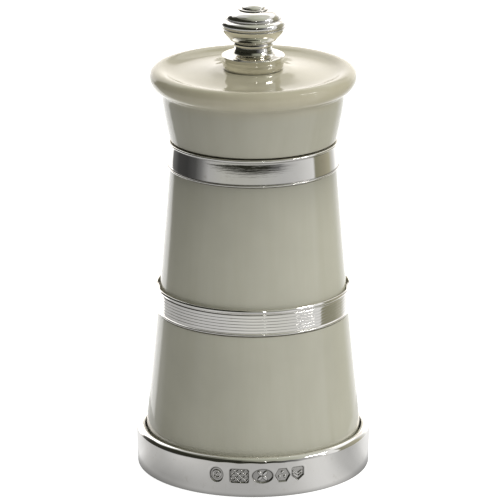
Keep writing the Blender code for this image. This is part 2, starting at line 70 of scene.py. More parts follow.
# =============================================================== geometry kit
def rounded(points, arc=6, closed=True):
    """(r, z) or (r, z, fillet) points in mm -> dense loop, corners filleted."""
    out = []
    n = len(points)
    for i, p in enumerate(points):
        rad = p[2] if len(p) > 2 else 0.0
        if rad <= 0 or (not closed and i in (0, n - 1)):
            out.append((p[0], p[1]))
            continue
        c0 = Vector((p[0], p[1]))
        a = Vector(points[i - 1][:2])
        b = Vector(points[(i + 1) % n][:2])
        u, v = (a - c0), (b - c0)
        lu, lv = u.length, v.length
        u.normalize()
        v.normalize()
        ang = math.acos(max(-1.0, min(1.0, u.dot(v))))
        if ang > math.pi - 2e-3 or ang < 1e-3:
            out.append((p[0], p[1]))
            continue
        t = min(rad / math.tan(ang / 2), 0.49 * lu, 0.49 * lv)
        rr = t * math.tan(ang / 2)
        c = c0 + (u + v).normalized() * (rr / math.sin(ang / 2))
        s, e = c0 + u * t, c0 + v * t
        a0, a1 = math.atan2(s.y - c.y, s.x - c.x), math.atan2(e.y - c.y, e.x - c.x)
        d = (a1 - a0 + math.pi) % (2 * math.pi) - math.pi
        for k in range(arc + 1):
            th = a0 + d * k / arc
            out.append((c.x + rr * math.cos(th), c.y + rr * math.sin(th)))
    return out


def spline(points, per=6):
    """Catmull-Rom through (r, z) points, open."""
    p = [Vector(q) for q in points]
    p = [p[0] * 2 - p[1]] + p + [p[-1] * 2 - p[-2]]
    out = []
    for i in range(1, len(p) - 2):
        for k in range(per):
            t = k / per
            a, b, c, d = p[i - 1], p[i], p[i + 1], p[i + 2]
            q = 0.5 * ((2 * b) + (c - a) * t + (2 * a - 5 * b + 4 * c - d) * t * t + (3 * b - a - 3 * c + d) * t ** 3)
            out.append((q.x, q.y))
    out.append((p[-2].x, p[-2].y))
    return out


def loop_area(loop):
    s = 0.0
    for (r0, z0), (r1, z1) in zip(loop, loop[1:] + loop[:1]):
        s += r0 * z1 - r1 * z0
    return s / 2


def clean_loop(loop):
    out = []
    for p in loop:
        if not out or math.hypot(p[0] - out[-1][0], p[1] - out[-1][1]) > 1e-4:
            out.append(p)
    if math.hypot(out[0][0] - out[-1][0], out[0][1] - out[-1][1]) < 1e-4:
        out.pop()
    return out


def crevices(loop, reach=0.35):
    """0..1 for each loop point: how deep it sits in an inner corner (loop in mm)."""
    n = len(loop)
    pts = np.array(loop)
    nxt, prv = np.roll(pts, -1, 0), np.roll(pts, 1, 0)
    a, b = pts - prv, nxt - pts
    cross = a[:, 0] * b[:, 1] - a[:, 1] * b[:, 0]
    dot = (a * b).sum(1)
    turn = np.arctan2(cross, dot)
    if loop_area(loop) < 0:
        turn = -turn
    concave = np.clip(-turn, 0, None)
    seg = np.hypot(*(nxt - pts).T)
    s = np.concatenate([[0], np.cumsum(seg)])[:-1]
    total = seg.sum()
    out = np.zeros(n)
    for i in np.nonzero(concave > 0.05)[0]:
        d = np.abs(s - s[i])
        d = np.minimum(d, total - d)
        out += concave[i] * np.exp(-((d / reach) ** 2))
    return np.clip(out / 1.2, 0, 1)


def lathe(name, loop, mat, seg=160, body=None, stands_for=(), slot=None, angles=None, shape=None,
          reach=0.35, sharp=38, xy=(0.0, 0.0), crevice_dirt_and_shade=1.0):
    """A closed (r, z) loop in mm spun about Z. shape(r, z, a) -> (r, z, dirt) bends it."""
    loop = clean_loop(loop)
    if loop_area(loop) < 0:
        loop = loop[::-1]
    # crevice weight: patina and dust in the hollows of the metal parts, painted shade in the inner corners of the
    # acrylic and nylon parts
    crev = crevices(loop, reach) * crevice_dirt_and_shade
    if angles is None:
        angles = [2 * math.pi * k / seg for k in range(seg)]
    m, n = len(angles), len(loop)
    verts, idx, cv = [], [], []
    for i, (r, z) in enumerate(loop):
        if r < 1e-6:
            idx.append([len(verts)] * m)
            verts.append((xy[0], xy[1], z * MM))
            cv.append(crev[i])
            continue
        row = []
        for a in angles:
            rr, zz, dirt = shape(r, z, a) if shape else (r, z, 0.0)
            row.append(len(verts))
            verts.append((xy[0] + rr * MM * math.sin(a), xy[1] - rr * MM * math.cos(a), zz * MM))
            cv.append(min(1.0, crev[i] + dirt))
        idx.append(row)
    faces = []
    for i in range(n):
        j = (i + 1) % n
        if loop[i][0] < 1e-6 and loop[j][0] < 1e-6:
            continue
        for k in range(m):
            l = (k + 1) % m
            f = [idx[i][k], idx[i][l], idx[j][l], idx[j][k]]
            g = []
            for q in f:
                if q not in g:
                    g.append(q)
            if len(g) > 2:
                faces.append(g)
    return mesh_object(name, verts, faces, mat, body, stands_for, slot, cv, sharp)


def mesh_object(name, verts, faces, mat, body=None, stands_for=(), slot=None, crev=None, sharp=38):
    me = bpy.data.meshes.new(name)
    me.from_pydata(verts, [], faces)
    me.validate()
    bm = bmesh.new()
    bm.from_mesh(me)
    bmesh.ops.recalc_face_normals(bm, faces=bm.faces)
    bm.to_mesh(me)
    bm.free()
    me.shade_smooth()
    me.set_sharp_from_angle(angle=math.radians(sharp))
    at = me.attributes.new("crevice", "FLOAT", "POINT")
    if crev is not None:
        at.data.foreach_set("value", np.array(crev, np.float32))
    me.materials.append(mat)
    ob = bpy.data.objects.new(name, me)
    bpy.context.scene.collection.objects.link(ob)
    if body:
        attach(ob, body)
    if stands_for:
        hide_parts(*stands_for)
    return ob


def loft(name, rings, mat, closed=False, **kw):
    n = len(rings[0])
    verts = [tuple(c * MM for c in p) for ring in rings for p in ring]
    faces = []
    rows = len(rings)
    for i in range(rows if closed else rows - 1):
        j = (i + 1) % rows
        for k in range(n):
            l = (k + 1) % n
            faces.append([i * n + k, i * n + l, j * n + l, j * n + k])
    if not closed:
        faces.append(list(range(n))[::-1])
        faces.append([(rows - 1) * n + k for k in range(n)])
    return mesh_object(name, verts, faces, mat, **kw)


def circle(r, n, z, phase=0.0):
    return [(r * math.cos(2 * math.pi * k / n + phase), r * math.sin(2 * math.pi * k / n + phase), z) for k in range(n)]


def square_section(half, corner, n, z, blend=1.0):
    pts = []
    for k in range(n):
        a = 2 * math.pi * k / n
        c, s = math.cos(a), math.sin(a)
        r = min(half / max(abs(c), abs(s)), corner)
        pts.append((r * c, r * s, z))
    return pts


def cutter(ob):
    ob.hide_render = True
    ob.hide_viewport = True
    ob.display_type = "WIRE"


def bevel(ob, width, segments=2, angle=40):
    m = ob.modifiers.new("edge", "BEVEL")
    m.width = width * MM
    m.segments = segments
    m.limit_method = "ANGLE"
    m.angle_limit = math.radians(angle)
    m.harden_normals = False
    return m


# ================================================================== materials
class Mat:
    def __init__(self, name):
        self.mat = bpy.data.materials.new(name)
        self.mat.use_nodes = True
        self.nt = self.mat.node_tree
        self.b = self.nt.nodes["Principled BSDF"]
        self.tc = self.nt.nodes.new("ShaderNodeTexCoord")

    def new(self, kind, **kw):
        nd = self.nt.nodes.new(kind)
        for k, v in kw.items():
            setattr(nd, k, v)
        return nd

    def link(self, a, b):
        self.nt.links.new(a, b)

    def mapping(self, scale=(1, 1, 1), loc=(0, 0, 0)):
        m = self.new("ShaderNodeMapping")
        m.inputs["Scale"].default_value = scale
        m.inputs["Location"].default_value = loc
        self.link(self.tc.outputs["Object"], m.inputs["Vector"])
        return m.outputs["Vector"]

    def noise(self, scale, detail=4.0, rough=0.5, vec=None, dist=0.0):
        nz = self.new("ShaderNodeTexNoise")
        nz.inputs["Scale"].default_value = scale
        nz.inputs["Detail"].default_value = detail
        nz.inputs["Roughness"].default_value = rough
        nz.inputs["Distortion"].default_value = dist
        self.link(vec or self.tc.outputs["Object"], nz.inputs["Vector"])
        return nz.outputs["Fac"]

    def ramp(self, fac, stops):
        r = self.new("ShaderNodeValToRGB")
        e = r.color_ramp.elements
        while len(e) < len(stops):
            e.new(0.5)
        for el, (p, c) in zip(e, stops):
            el.position = p
            el.color = c if len(c) == 4 else (*c, 1.0)
        self.link(fac, r.inputs["Fac"])
        return r.outputs["Color"]

    def math(self, op, a, b=None, c=None, clamp=False):
        m = self.new("ShaderNodeMath", operation=op)
        m.use_clamp = clamp
        for i, v in enumerate((a, b, c)):
            if v is None:
                continue
            if isinstance(v, (int, float)):
                m.inputs[i].default_value = v
            else:
                self.link(v, m.inputs[i])
        return m.outputs[0]

    def map_range(self, v, a, b, c, d):
        m = self.new("ShaderNodeMapRange")
        m.inputs["From Min"].default_value = a
        m.inputs["From Max"].default_value = b
        m.inputs["To Min"].default_value = c
        m.inputs["To Max"].default_value = d
        self.link(v, m.inputs["Value"])
        return m.outputs["Result"]

    def mix(self, fac, a, b, blend="MIX"):
        m = self.new("ShaderNodeMix", data_type="RGBA")
        m.blend_type = blend
        for socket, v in ((m.inputs[0], fac), (m.inputs[6], a), (m.inputs[7], b)):
            if isinstance(v, (int, float)):
                socket.default_value = v
            elif isinstance(v, tuple):
                socket.default_value = v if len(v) == 4 else (*v, 1.0)
            else:
                self.link(v, socket)
        return m.outputs[2]

    def attr(self, name):
        a = self.new("ShaderNodeAttribute", attribute_name=name)
        return a.outputs["Fac"]

    def bump(self, height, strength, distance, normal=None):
        b = self.new("ShaderNodeBump")
        b.inputs["Strength"].default_value = strength
        b.inputs["Distance"].default_value = distance
        self.link(height, b.inputs["Height"])
        if normal is not None:
            self.link(normal, b.inputs["Normal"])
        return b.outputs["Normal"]

    def set(self, **kw):
        for k, v in kw.items():
            s = self.b.inputs[k.replace("_", " ")]
            if isinstance(v, (int, float)):
                s.default_value = v
            elif isinstance(v, tuple):
                s.default_value = v if len(v) == 4 else (*v, 1.0)
            else:
                self.link(v, s)
        return self.mat


def acrylic(name, tint, warm_light_above=None, painted_shade=None):
    m = Mat(name)
    cloud = m.noise(45, 3, 0.55, dist=0.4)
    streak = m.noise(1.0, 5, 0.6, vec=m.mapping((420, 420, 16)))
    base = m.ramp(cloud, [(0.30, tuple(c * 0.925 for c in tint)), (0.50, tint), (0.72, tuple(min(1, c * 1.05) for c in tint))])
    warm = tuple((tint[0] * 0.93, tint[1] * 0.925, tint[2] * 0.89))
    base = m.mix(m.map_range(streak, 0.42, 0.72, 0.0, 0.42), base, warm)
    speck = m.noise(2600, 2, 0.7)
    base = m.mix(m.map_range(speck, 0.66, 0.80, 0.0, 0.20), base, tuple(c * 0.70 for c in tint))
    # painted warm light: the colour turns warmer above a given height, on the head's roll and dish
    if warm_light_above:
        sep = m.new("ShaderNodeSeparateXYZ")
        m.link(m.tc.outputs["Object"], sep.inputs[0])
        base = m.mix(m.map_range(sep.outputs["Z"], warm_light_above[0], warm_light_above[1], 0.0, 1.0), base, (1.0, 0.955, 0.875), "MULTIPLY")
    # painted shade: the colour is multiplied darker between two heights, for the shade under the upper band and under
    # the head's rim
    if painted_shade:
        z0, z1, power, tone = painted_shade
        sep = m.new("ShaderNodeSeparateXYZ")
        m.link(m.tc.outputs["Object"], sep.inputs[0])
        base = m.mix(m.math("POWER", m.map_range(sep.outputs["Z"], z0, z1, 0.0, 1.0), power), base, tone, "MULTIPLY")
    rough = m.math("ADD", m.map_range(m.noise(150, 4, 0.6), 0.3, 0.7, 0.020, 0.045), m.map_range(streak, 0.3, 0.8, 0.0, 0.02))
    rough = m.math("ADD", rough, m.math("MULTIPLY", m.attr("crevice"), 0.25))
    # painted shade: inner corners are darkened towards a dark tint by the crevice attribute
    base = m.mix(m.math("MULTIPLY", m.attr("crevice"), 0.45), base, (tint[0] * 0.42, tint[1] * 0.39, tint[2] * 0.33))
    wavy = m.noise(70, 2, 0.5)
    fine = m.noise(1.0, 3, 0.6, vec=m.mapping((600, 600, 2400)))
    nrm = m.bump(wavy, 0.05, 0.0008)
    nrm = m.bump(fine, 0.02, 0.0001, nrm)
    return m.set(Base_Color=base, Roughness=rough, Normal=nrm, IOR=1.49, Subsurface_Weight=0.0,
                 Coat_Weight=0.0)


def silver(name, tarnish=1.0, rough0=0.012, lines=0.06, tone=None):
    m = Mat(name)
    cloud = m.noise(120, 4, 0.6, dist=0.5)
    clean = (0.955, 0.940, 0.905)
    base = m.ramp(cloud, [(0.25, (0.925, 0.905, 0.865)), (0.55, clean), (0.8, (0.97, 0.958, 0.93))])
    spot = m.noise(520, 5, 0.65)
    base = m.mix(m.map_range(spot, 0.60, 0.78, 0.0, 0.30 * tarnish), base, (0.62, 0.56, 0.45))
    crev = m.math("MULTIPLY", m.attr("crevice"), m.map_range(m.noise(300, 3, 0.5), 0.2, 0.7, 0.65, 1.0))
    base = m.mix(m.math("MULTIPLY", crev, 0.96 * tarnish, clamp=True), base, (0.055, 0.048, 0.038))
    hair = m.noise(1.0, 4, 0.7, vec=m.mapping((260, 260, 9000)))
    hair2 = m.noise(1.0, 3, 0.7, vec=m.mapping((5200, 900, 1400)))
    rough = m.math("ADD", m.map_range(cloud, 0.3, 0.75, rough0, rough0 + 0.03), m.map_range(hair, 0.45, 0.8, 0.0, 0.035))
    rough = m.math("ADD", rough, m.map_range(spot, 0.6, 0.8, 0.0, 0.06))
    rough = m.math("ADD", rough, m.math("MULTIPLY", crev, 0.30))
    nrm = m.bump(m.noise(95, 2, 0.4), 0.035, 0.0008)
    nrm = m.bump(hair, 0.05, 0.00003, nrm)
    nrm = m.bump(hair2, 0.04, 0.00002, nrm)
    # faint turning lines left by the polishing
    nrm = m.bump(m.noise(1.0, 3, 0.6, vec=m.mapping((110, 110, 2700))), lines, 0.00003, nrm)
    if tone:
        base = m.mix(m.map_range(spot, 0.2, 0.5, 0.9, 1.0), base, tone, "MULTIPLY")
    return m.set(Base_Color=base, Metallic=1.0, Roughness=rough, Normal=nrm)


def steel(name, colour=(0.60, 0.60, 0.61), rings=True, rough0=0.20, dust=0.5):
    m = Mat(name)
    turning = m.new("ShaderNodeTexWave", wave_type="RINGS", rings_direction="Z")
    turning.inputs["Scale"].default_value = 2600
    turning.inputs["Distortion"].default_value = 1.2
    turning.inputs["Detail"].default_value = 2
    m.link(m.tc.outputs["Object"], turning.inputs["Vector"])
    lines = turning.outputs["Fac"] if rings else m.noise(1.0, 4, 0.6, vec=m.mapping((400, 9000, 9000)))
    cloud = m.noise(240, 5, 0.6)
    base = m.ramp(cloud, [(0.3, tuple(c * 0.86 for c in colour)), (0.6, colour), (0.8, tuple(min(1, c * 1.1) for c in colour))])
    pepper = m.noise(1500, 4, 0.7)
    mask = m.math("MULTIPLY", m.map_range(pepper, 0.52, 0.70, 0.0, 1.0), dust)
    mask = m.math("MAXIMUM", mask, m.math("MULTIPLY", m.attr("crevice"), 0.8), clamp=True)
    base = m.mix(mask, base, (0.12, 0.09, 0.06))
    rough = m.math("ADD", m.map_range(lines, 0.0, 1.0, rough0, rough0 + 0.12), m.math("MULTIPLY", mask, 0.35))
    nrm = m.bump(lines, 0.18, 0.00003)
    nrm = m.bump(cloud, 0.05, 0.0001, nrm)
    return m.set(Base_Color=base, Metallic=m.map_range(mask, 0.0, 1.0, 1.0, 0.35), Roughness=rough, Normal=nrm)


def felt(name, colour):
    m = Mat(name)
    fibre = m.noise(1.0, 6, 0.75, vec=m.mapping((2600, 2600, 2600)), dist=1.6)
    tuft = m.noise(700, 4, 0.6)
    base = m.ramp(fibre, [(0.25, tuple(c * 0.45 for c in colour)), (0.55, colour), (0.85, tuple(min(1, c * 1.9) for c in colour))])
    base = m.mix(m.map_range(tuft, 0.4, 0.7, 0.0, 0.35), base, tuple(c * 0.7 for c in colour))
    nrm = m.bump(fibre, 0.7, 0.0002)
    nrm = m.bump(tuft, 0.5, 0.0003, nrm)
    return m.set(Base_Color=base, Roughness=0.95, Normal=nrm, Sheen_Weight=0.6, Sheen_Roughness=0.45)


def nylon(name, colour):
    m = Mat(name)
    lines = m.noise(1.0, 4, 0.6, vec=m.mapping((300, 300, 6000)))
    cloud = m.noise(300, 3, 0.5)
    base = m.ramp(cloud, [(0.3, tuple(c * 0.9 for c in colour)), (0.7, colour)])
    # painted shade: inner corners are darkened by the crevice attribute
    base = m.mix(m.math("MULTIPLY", m.attr("crevice"), 0.6), base, tuple(c * 0.4 for c in colour))
    return m.set(Base_Color=base, Roughness=m.map_range(lines, 0.2, 0.8, 0.35, 0.5), Normal=m.bump(lines, 0.2, 0.00003))


ACRYLIC = acrylic("cream_acrylic", (0.685, 0.672, 0.566))
# the upper body and head copies carry painted shade: darker towards the upper band, and darker on the head's wall under
# the rim; the head copy is also painted warmer above, for warm light on the roll and dish
ACRYLIC_UPPER = acrylic("cream_acrylic_upper", (0.685, 0.672, 0.566), painted_shade=(0.045, 0.0692, 3.0, (0.72, 0.72, 0.72)))
ACRYLIC_HEAD = acrylic("cream_acrylic_head", (0.692, 0.676, 0.562), (0.0840, 0.0885), painted_shade=(0.0872, 0.0850, 1.0, (0.86, 0.86, 0.865)))
SILVER = silver("polished_silver")
SILVER_BRIGHT = silver("polished_silver_finial", tarnish=0.75, rough0=0.010)
SILVER_BAND = silver("polished_silver_band", lines=0.14)
SILVER_COLLAR = silver("polished_silver_collar", tarnish=0.85, rough0=0.010, tone=(0.83, 0.83, 0.80))
STEEL = steel("turned_steel")
STRIP = steel("rolled_steel", (0.56, 0.56, 0.57), rings=False, rough0=0.24)
BURR = steel("burr_steel", (0.30, 0.30, 0.31), rings=False, rough0=0.34, dust=0.8)
SPRING = steel("spring_steel", (0.50, 0.50, 0.52), rings=False, rough0=0.16, dust=0.25)
BRASS = steel("turned_brass", (0.80, 0.62, 0.32), rings=True, rough0=0.18, dust=0.2)
FELT = felt("green_felt", (0.030, 0.075, 0.045))
NYLON = nylon("nylon", (0.78, 0.75, 0.68))


# ================================================================ fixed pieces
def body_radius(z):
    h = z - 9.4
    return 24.05 - 0.1085 * h + 0.00028 * h * h


def cone(z0, z1, count):
    return [(body_radius(z0 + (z1 - z0) * k / (count - 1)), z0 + (z1 - z0) * k / (count - 1)) for k in range(count)]


def drilled(ob, holes, z0, z1, r=1.2):
    for i, (x, y) in enumerate(holes):
        c = loft("%s_drill_%d" % (ob.name, i), [[(x + p[0], y + p[1], p[2]) for p in circle(r, 20, z, 0.11)] for z in (z0, z1)], ACRYLIC)
        cutter(c)
        m = ob.modifiers.new("drill%d" % i, "BOOLEAN")
        m.operation = "DIFFERENCE"
        m.solver = "MANIFOLD"
        m.object = c
        DRILLS.append((ob, m, c))


DRILLS = []


def make_body():
    wall = cone(9.2, 35.6, 24)
    loop = rounded([(13.4, 6.4, 0.2), (17.6, 6.4, 0.25), (17.6, 3.6, 0.3), (23.7, 3.6, 0.5), (24.0, 5.0, 0.5)], 4)
    loop += wall
    loop += [(20.5, 35.6), (20.5, 38.6), (16.6, 38.6), (16.6, 43.0), (13.4, 43.0)]
    low = lathe("body_lower_turned", loop, ACRYLIC, 192, "mill_body", ["body_lower"], "acrylic")
    drilled(low, [(15.3, 0), (-15.3, 0)], 3.0, 12.8)
    loop = [(16.9, 38.9), (20.5, 38.9), (20.5, 40.6)]
    loop += cone(40.7, 68.9, 26)
    loop += [(17.9, 68.9)] + rounded([(17.9, 69.5), (17.9, 74.3, 0.3), (13.4, 74.3, 0.5), (13.4, 60.0)], 5, closed=False)
    loop += [(13.4, 43.3), (16.9, 43.3)]
    lathe("body_upper_turned", loop, ACRYLIC_UPPER, 192, "mill_body", ["body_upper"], "acrylic")


# ---- the punched marks: plain ornament in five small cartouches
def sd_box(x, y, w, h, r):
    qx, qy = abs(x) - w + r, abs(y) - h + r
    return math.hypot(max(qx, 0), max(qy, 0)) + min(max(qx, qy), 0) - r


def sd_ellipse(x, y, a, b):
    k = math.hypot(x / a, y / b)
    return (k - 1.0) * min(a, b)


def sd_hex(x, y, r):
    x, y = abs(x), abs(y)
    return max(x * 0.8660254 + y * 0.5, y) - r


def sd_seg(x, y, ax, ay, bx, by):
    dx, dy = bx - ax, by - ay
    t = max(0.0, min(1.0, ((x - ax) * dx + (y - ay) * dy) / (dx * dx + dy * dy)))
    return math.hypot(x - ax - t * dx, y - ay - t * dy)


def smooth(a, b, x):
    t = max(0.0, min(1.0, (x - a) / (b - a)))
    return t * t * (3 - 2 * t)


MARK_Z = 5.05
# centre along the wall (mm of arc), kind
MARKS = [(-8.25, "ring"), (-3.1, "lattice"), (2.1, "leaf"), (6.55, "dots"), (10.1, "chevron")]


def mark_height(s, z):
    """Height over the wall in mm (negative is sunk) and how much dirt lies there."""
    h = dirt = 0.0
    y = z - MARK_Z
    for cx, kind in MARKS:
        x = s - cx
        if abs(x) > 3.6 or abs(y) > 3.4:
            continue
        if kind == "ring":
            sd = sd_ellipse(x, y, 1.55, 1.70)
            rel = 1.0 - smooth(0.10, 0.24, abs(math.hypot(x, y) - 0.85))
            rel = max(rel, 1.0 - smooth(0.18, 0.34, math.hypot(x, y)))
        elif kind == "lattice":
            sd = sd_box(x, y, 2.15, 1.60, 0.55)
            d = min(abs(((x + y) * 0.7071 + 0.5) % 1.0 - 0.5), abs(((x - y) * 0.7071 + 0.5) % 1.0 - 0.5))
            rel = 1.0 - smooth(0.06, 0.20, d)
        elif kind == "leaf":
            sd = sd_ellipse(x, y, 2.35, 1.62)
            rel = 0.0
            for k in range(4):
                a = math.pi / 4 + k * math.pi / 2
                px, py = x * math.cos(a) + y * math.sin(a), -x * math.sin(a) + y * math.cos(a)
                rel = max(rel, 1.0 - smooth(-0.05, 0.14, sd_ellipse(px - 0.78, py, 0.62, 0.30)))
        elif kind == "dots":
            sd = sd_hex(x, y, 1.52)
            d = min(math.hypot(x, y - 0.62), math.hypot(x - 0.60, y + 0.42), math.hypot(x + 0.60, y + 0.42))
            rel = 1.0 - smooth(0.20, 0.38, d)
        else:
            sd = max(sd_box(x, y, 1.45, 1.60, 0.5), (abs(x) * 0.8 - y - 1.55) * 0.78)
            d = min(sd_seg(abs(x), y, 0, -0.15, 0.95, 0.55), sd_seg(abs(x), y, 0, -0.85, 0.95, -0.15))
            rel = 1.0 - smooth(0.10, 0.26, d)
        inside = 1.0 - smooth(-0.16, 0.06, sd)
        h += inside * (-0.30 + 0.21 * rel)
        dirt = max(dirt, inside * (1.0 - rel) * 0.48, inside * 4.0 * rel * (1.0 - rel), math.exp(-((sd + 0.08) / 0.14) ** 2))
        # metal pushed up round the punch
        h += 0.035 * math.exp(-((sd - 0.22) / 0.30) ** 2)
        # and the wall swelled a little over it
        h += 0.075 * math.exp(-((x / 1.45) ** 2) - ((y - 2.65) / 0.65) ** 2)
    return h, dirt


def make_foot():
    top = rounded([(21.5, 3.3, 0.3), (21.5, 0.0, 0.35), (26.06, 0.0, 0.30), (26.08, 0.6)], 7)
    wall = [(26.08 + 0.22 * (z - 0.6) / 7.3, z) for z in np.arange(0.7, 7.9, 0.085)]
    crown = [(25.22 + 1.08 * math.cos(t), 7.9 + 1.22 * math.sin(t)) for t in np.radians(np.arange(0, 84.1, 3.5))]
    rest = rounded([(25.1, 9.12), (24.95, 9.06, 0.12), (24.4, 8.75, 0.12), (24.4, 6.0), (24.4, 3.3, 0.3)], 5, closed=False)
    loop = top + wall + crown + rest[1:]
    angles = []
    a = -math.pi
    while a < math.pi - 1e-4:
        angles.append(a)
        fine = -12.0 < a * 26.2 < 14.0
        a += (0.085 / 26.2) if fine else (2 * math.pi / 200)

    def shape(r, z, ang):
        if r > 25.6 and 1.5 < z < 8.8:
            s = ang * 26.2
            if -12.5 < s < 14.5:
                h, dirt = mark_height(s, z)
                return r + h, z, dirt
        return r, z, 0.0

    lathe("foot_ring_silver", loop, SILVER, body="mill_body", stands_for=["foot_ring"], slot="silver",
          angles=angles, shape=shape, reach=0.30, sharp=60)


def make_middle_band():
    loop = [(20.8, 35.9), (21.36, 35.9)]
    # lower bead, a thin half round
    for k in range(11):
        a = math.radians(-80 + 150 * k / 10)
        loop.append((21.44 + 0.24 * math.cos(a), 36.15 + 0.24 * math.sin(a)))
    z0, z1, n = 36.5, 40.62, 6
    pitch = (z1 - z0) / n
    for i in range(n):
        loop.append((21.378, z0 + i * pitch))
        for k in range(0, 13):
            t = k / 12
            loop.append((21.407 + 0.009 * math.sin(math.pi * t), z0 + (i + 0.05 + 0.90 * t) * pitch))
    loop.append((21.365, z1))
    loop += rounded([(21.28, 40.72), (21.30, 40.92, 0.2), (21.74, 41.16, 0.25), (21.86, 41.55, 0.22), (21.68, 41.9, 0.14),
                     (21.46, 41.9, 0.12), (21.28, 41.3, 0.3), (21.16, 40.4), (20.8, 40.4)], 6, closed=False)
    lathe("middle_band_reeded", loop, SILVER, 240, "mill_body", ["middle_band"], "silver", reach=0.05, sharp=60, crevice_dirt_and_shade=0.3)


def make_upper_band():
    loop = [(18.2, 69.2), (18.9, 69.2)]
    for k in range(11):
        a = math.radians(-80 + 160 * k / 10)
        loop.append((18.98 + 0.20 * math.cos(a), 69.40 + 0.20 * math.sin(a)))
    wall = [(18.965, 69.70), (18.93, 70.2), (18.845, 71.2), (18.75, 72.2), (18.645, 73.2), (18.545, 74.1), (18.52, 74.4)]
    loop += spline(wall, 6)
    loop += rounded([(18.50, 74.52), (18.56, 74.72, 0.12), (19.17, 74.80, 0.22), (19.17, 75.3, 0.26), (14.2, 75.3, 0.35), (14.2, 74.6, 0.2), (18.2, 74.6)], 7, closed=False)
    lathe("upper_band_silver", loop, SILVER_BAND, 240, "mill_body", ["upper_band"], "silver", reach=0.16, sharp=60)


def make_under():
    loop = rounded([(18.0, 2.3, 0.25), (21.2, 2.3, 0.25), (21.2, 3.3), (18.0, 3.3)], 4)
    lathe("base_pad_felt", loop, FELT, 128, "mill_body", ["base_pad"], "felt")
    loop = rounded([(10.6, 4.3, 0.25), (17.2, 4.3, 0.3), (17.2, 6.0, 0.1), (12.95, 6.0, 0.2), (12.95, 13.9, 0.2), (11.65, 13.9, 0.2), (11.65, 5.9), (10.6, 5.9, 0.1)], 5)
    hs = lathe("grinder_housing_turned", loop, STEEL, 128, "mill_body", ["grinder_housing"], "steel")
    drilled(hs, [(15.3, 0), (-15.3, 0)], 3.5, 6.9)

    # outer burr, teeth cut on its inner cone
    teeth, per = 12, 10
    n = teeth * per

    def stator_ring(z, t):
        tip = 10.15 - 0.39 * (z - 6.2)
        depth = 0.35 + 0.75 * (z - 6.2) / 7.1
        out = []
        for k in range(n):
            a = 2 * math.pi * k / n - 0.35 * (1 - t)
            u = (k % per) / per
            land = smooth(0.02, 0.30, u) * (1 - smooth(0.52, 0.60, u))
            r = tip + depth * (1 - land)
            out.append((r * math.cos(a), r * math.sin(a), z))
        return out

    rings = [circle(11.25, n, 6.2), circle(11.35, n, 6.3), circle(11.35, n, 13.2), circle(11.25, n, 13.3)]
    steps = 12
    for k in range(steps + 1):
        t = k / steps
        rings.append(stator_ring(13.3 - 7.1 * t, t))
    loft("stator_burr_cut", rings, BURR, closed=True, body="mill_body", stands_for=["stator_burr"], slot="burr_steel", sharp=30)

    # bridge: strip bent to an inverted U
    x1, x0, z0, z1, w = 12.3, 11.3, 14.2, 28.0, 4.3
    outer = rounded([(x1, z0), (x1, z1, 1.9), (-x1, z1, 1.9), (-x1, z0)], 8, closed=False)
    inner = rounded([(-x0, z0), (-x0, z1 - 1.0, 0.9), (x0, z1 - 1.0, 0.9), (x0, z0)], 8, closed=False)
    loop = outer + inner
    m = len(loop)
    verts = [(x * MM, -w * MM, z * MM) for x, z in loop] + [(x * MM, w * MM, z * MM) for x, z in loop]
    faces = [list(range(m)), list(range(m, 2 * m))[::-1]]
    faces += [[k, (k + 1) % m, m + (k + 1) % m, m + k] for k in range(m)]
    br = mesh_object("bridge_strip", verts, faces, STRIP, "mill_body", ["bridge"], "steel", sharp=30)
    c = loft("bridge_drill", [circle(3.5, 40, z, 0.03) for z in (25, 30)], STRIP)
    cutter(c)
    md = br.modifiers.new("drill", "BOOLEAN")
    md.operation, md.solver, md.object = "DIFFERENCE", "EXACT", c
    DRILLS.append((br, md, c))
    bevel(br, 0.12)

    # retaining bar
    loop = []
    for side in (1, -1):
        for k in range(17):
            a = math.radians(-90 + 180 * k / 16)
            loop.append((side * (14.0 + 3.0 * math.cos(a)), side * 3.0 * math.sin(a)))
    bar = loft("retaining_bar_flat", [[(x, y, z) for x, y in loop] for z in (2.9, 4.0)], STRIP, body="mill_body",
               stands_for=["retaining_bar"], slot="steel", sharp=30)
    for i, (x, r) in enumerate(((0, 2.6), (15.3, 1.2), (-15.3, 1.2))):
        c = loft("bar_drill_%d" % i, [[(x + p[0], p[1], p[2]) for p in circle(r, 32, z, 0.05)] for z in (2, 5)], STRIP)
        cutter(c)
        md = bar.modifiers.new("drill%d" % i, "BOOLEAN")
        md.operation, md.solver, md.object = "DIFFERENCE", "EXACT", c
        DRILLS.append((bar, md, c))
    bevel(bar, 0.14)


